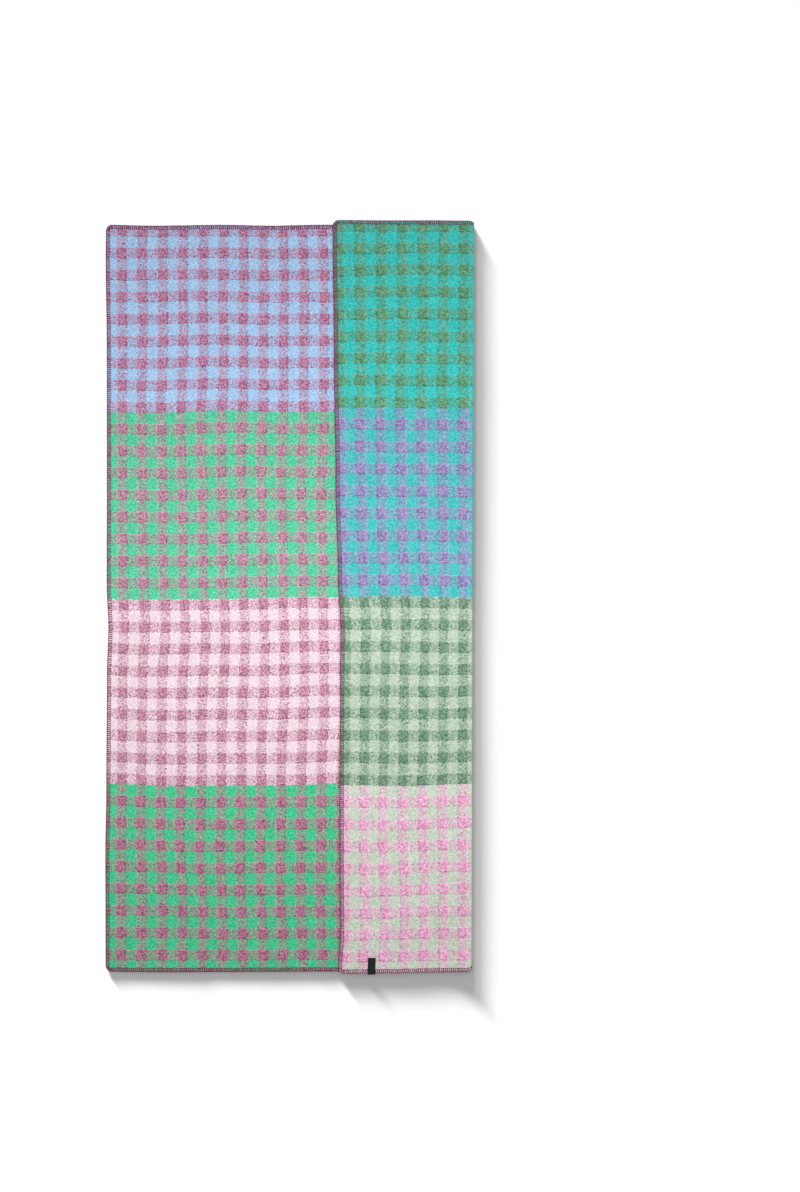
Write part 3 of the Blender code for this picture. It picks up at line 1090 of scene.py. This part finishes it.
def add_far_lamps(name, lamps, brightness, lit):
    """Lamps far away that light a level face this brightly together."""
    receivers = only_for(f"lit_by_{name}", lit)
    for lamp in lamps:
        towards = Vector((cos(lamp.heading), sin(lamp.heading), 1.0 / lamp.shadow)).normalized()
        light = bpy.data.lights.new(name, "SUN")
        light.energy = brightness / len(lamps) * pi / towards.z
        light.angle = lamp.width
        item = add_object(name, light)
        item.rotation_euler = (-towards).to_track_quat("-Z", "Y").to_euler()
        item.light_linking.receiver_collection = receivers


def add_near_lamp(name, brightness, lit):
    """A long lamp that hangs over the cloth and lights a level face right under it this brightly.
    From there it looks like a line of light, so its power follows from its length and height."""
    height, half = NEAR_PLACE.z, NEAR_LENGTH / 2
    light = bpy.data.lights.new(name, "AREA")
    light.shape = "RECTANGLE"
    light.size = NEAR_LENGTH
    light.size_y = NEAR_WIDTH
    seen = half / (height**2 + half**2) + atan(half / height) / height
    light.energy = pi**2 * brightness * NEAR_LENGTH / seen
    item = add_object(name, light)
    item.location = NEAR_PLACE
    item.visible_camera = False
    item.light_linking.receiver_collection = only_for(f"lit_by_{name}", lit)


def add_sky():
    """An even sky, which fills the shadows. The screen shows the light as it is."""
    sky = bpy.data.worlds.new("sky")
    sky.use_nodes = True
    background = sky.node_tree.nodes["Background"]
    background.inputs["Color"].default_value = (1.0, 1.0, 1.0, 1.0)
    background.inputs["Strength"].default_value = SKY
    bpy.context.scene.world = sky
    bpy.context.scene.view_settings.view_transform = "Standard"


def add_floor():
    """The pale floor, just under the cloth."""
    bpy.ops.mesh.primitive_plane_add(size=FLOOR_SIZE, location=(0.0, 0.0, FLOOR_LEVEL))
    floor = bpy.context.object
    floor.name = "floor"
    nodes = Nodes("pale_floor")
    nodes.surface(FLOOR_COLOUR, roughness=0.9, specular=0.0)
    floor.data.materials.append(nodes.material)
    return floor


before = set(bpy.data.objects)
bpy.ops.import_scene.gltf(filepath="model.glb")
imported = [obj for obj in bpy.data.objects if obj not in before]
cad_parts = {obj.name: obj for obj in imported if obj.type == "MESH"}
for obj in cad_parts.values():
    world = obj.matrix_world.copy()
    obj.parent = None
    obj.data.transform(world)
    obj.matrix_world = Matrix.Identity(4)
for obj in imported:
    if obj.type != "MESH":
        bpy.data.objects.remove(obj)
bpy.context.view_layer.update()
add_camera()
add_sky()
floor = add_floor()

front_wool = wool("front_wool", FRONT_BANDS, seed=0.0)
reverse_wool = wool("reverse_wool", REVERSE_BANDS, seed=20.0)
cloth = add_cloth(front_wool, reverse_wool)
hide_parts("blanket")
label = add_label(ribbon("black_ribbon"))
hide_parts("label")
label_stitches = add_label_stitches(thread("black_thread", RIBBON, RIBBON))
plum_thread = thread("plum_thread", THREAD, THREAD_DARK_TONE_AND_SHADE)
stitch_count = round(perimeter_length() / PITCH)
all_starts = np.arange(stitch_count) * perimeter_length() / stitch_count
stitches = [
    add_stitches(f"edge_stitches_{number}", starts, plum_thread)
    for number, starts in enumerate(np.array_split(all_starts, STITCH_PIECES), start=1)
]
for piece in (cloth, label, label_stitches, *stitches):
    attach(piece, "root")
sewn_on = [label, label_stitches, *stitches]
from_lamps = LIGHT - SKY
add_near_lamp("near_lamp", from_lamps * NEAR_SHARE, (cloth, *sewn_on))
add_far_lamps("broad_lamp", BROAD_LAMPS, from_lamps * (1.0 - NEAR_SHARE), (cloth, *sewn_on))
add_far_lamps("low_lamp", LOW_LAMPS, from_lamps, (floor,))
